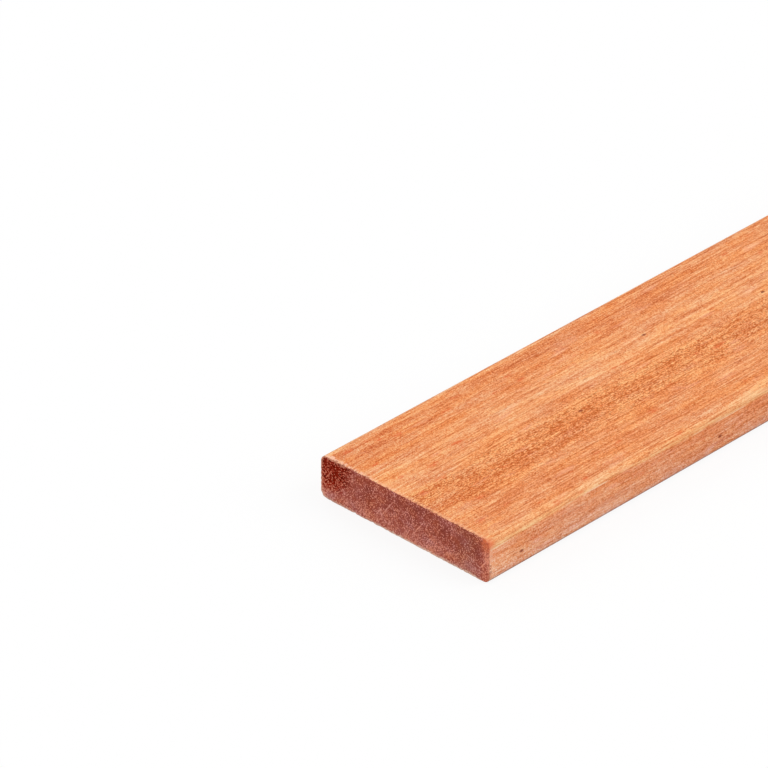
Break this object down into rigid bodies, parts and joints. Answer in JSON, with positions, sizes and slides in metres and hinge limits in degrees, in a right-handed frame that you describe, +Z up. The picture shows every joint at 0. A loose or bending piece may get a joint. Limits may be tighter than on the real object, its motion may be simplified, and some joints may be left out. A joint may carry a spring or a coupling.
{
  "type": "wooden plank",
  "caption": "Planed hardwood board with rounded long edges and square-sawn ends, stock for slats, fencing, cladding and trim.",
  "frame": {"origin": "middle of the underside, on the surface that the board lies on", "axes": "+X along the grain and the length, +Y across the face width, +Z up through the thickness"},
  "size_m": [1.8, 0.07, 0.015],
  "materials": {
    "planed_hardwood": "planed, unsealed"
  },
  "bodies": {
    "root": {"plank": "planed_hardwood"}
  },
  "joints": []
}
